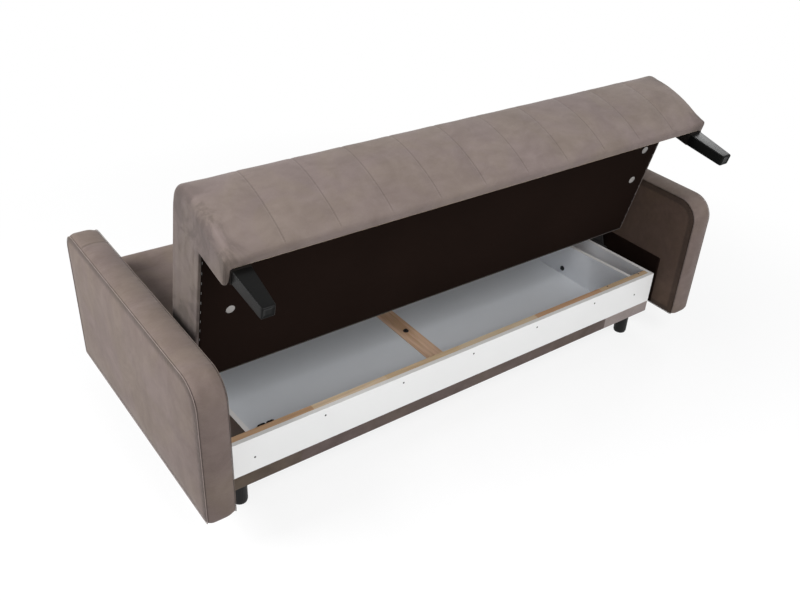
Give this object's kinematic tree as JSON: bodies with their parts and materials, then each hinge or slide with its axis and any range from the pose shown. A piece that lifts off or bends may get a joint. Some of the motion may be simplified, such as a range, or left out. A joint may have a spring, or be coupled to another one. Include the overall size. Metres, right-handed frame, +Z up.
{
  "type": "storage sofa bed",
  "caption": "Fabric sofa bed with slab arms, a seat that lifts off a bedding box and a backrest that folds flat as the seat slides forward",
  "frame": {"origin": "on the floor, at the middle of the whole outline with the seat lifted and the backrest flat", "axes": "+X along the sofa to its right-hand end seen from the front, +Y to the rear, +Z up"},
  "size_m": [2.2, 1.1854, 1.0855],
  "materials": {
    "white_laminate": "white laminated chipboard, satin",
    "pine": "sawn pine, finger jointed",
    "zinc_steel": "zinc plated",
    "plinth_fabric": "brown woven fabric",
    "floor_panel": "grey hardboard",
    "black_plastic": "matte black",
    "grey_plastic": "light grey, matte",
    "velvet": "taupe short-pile velvet",
    "padding": "taupe short-pile velvet over foam",
    "black_lining": "black non-woven lining",
    "webbing": "elastic webbing",
    "black_steel": "black painted steel",
    "black_wood": "wood wrapped in black lining"
  },
  "bodies": {
    "base": {"front_board": "white_laminate", "front_batten": "pine", "front_screws": "zinc_steel", "base_rail": "pine", "plinth_left": "plinth_fabric", "plinth_middle": "plinth_fabric", "plinth_right": "plinth_fabric", "end_board_left": "white_laminate", "end_board_right": "white_laminate", "inner_side_board_left": "white_laminate", "inner_side_board_right": "white_laminate", "rear_board": "white_laminate", "rear_rest_rail": "pine", "floor_panel_left": "floor_panel", "floor_panel_right": "floor_panel", "center_crossbar": "pine", "box_bolts": "zinc_steel", "floor_pads": "black_plastic", "base_feet": "black_plastic", "arm_spacers": "black_plastic", "arm_bolts": "zinc_steel", "arm_frame_left": "pine", "arm_frame_right": "pine", "arm_outer_panel_left": "velvet", "arm_outer_panel_right": "velvet", "arm_inner_panel_left": "velvet", "arm_inner_panel_right": "velvet", "arm_band_left": "velvet", "arm_band_right": "velvet", "arm_lining_left": "black_lining", "arm_lining_right": "black_lining", "slide_plate_left": "black_steel", "slide_plate_right": "black_steel", "slide_plate_screws": "zinc_steel"},
    "carriage": {"carriage_left": "black_steel", "carriage_right": "black_steel", "slide_studs": "zinc_steel", "seat_pivot_pins": "zinc_steel", "back_pivot_pins": "zinc_steel"},
    "seat": {"seat_arm_left": "black_steel", "seat_arm_right": "black_steel", "seat_frame": "pine", "seat_webbing": "webbing", "seat_pad": "padding", "fascia_board": "pine", "fascia_pad": "padding", "fascia_return_left": "padding", "fascia_return_right": "padding", "seat_lining": "black_lining", "lining_staples": "zinc_steel", "vent_buttons": "grey_plastic", "seat_leg_left": "black_plastic", "seat_leg_right": "black_plastic", "leg_blocks": "black_wood"},
    "backrest": {"back_frame": "pine", "back_webbing": "webbing", "back_pad": "padding", "back_lining": "black_lining", "back_arm_left": "black_steel", "back_arm_right": "black_steel"}
  },
  "joints": [
    {"name": "carriage_slide", "type": "slide", "parent": "base", "child": "carriage", "axis": [0, 1, 0], "range_m": [0, 0.16]},
    {"name": "seat_lift", "type": "hinge", "parent": "carriage", "child": "seat", "pos_m": [0, -0.01699, 0.4581], "axis": [1, 0, 0], "range_deg": [0, 77]},
    {"name": "back_fold", "type": "hinge", "parent": "carriage", "child": "backrest", "pos_m": [0, 0.08171, 0.406], "axis": [1, 0, 0], "range_deg": [0, 78]}
  ],
  "couplings": [
    {"joint": "back_fold", "follows": "carriage_slide", "rad_per_m": 8.508}
  ]
}
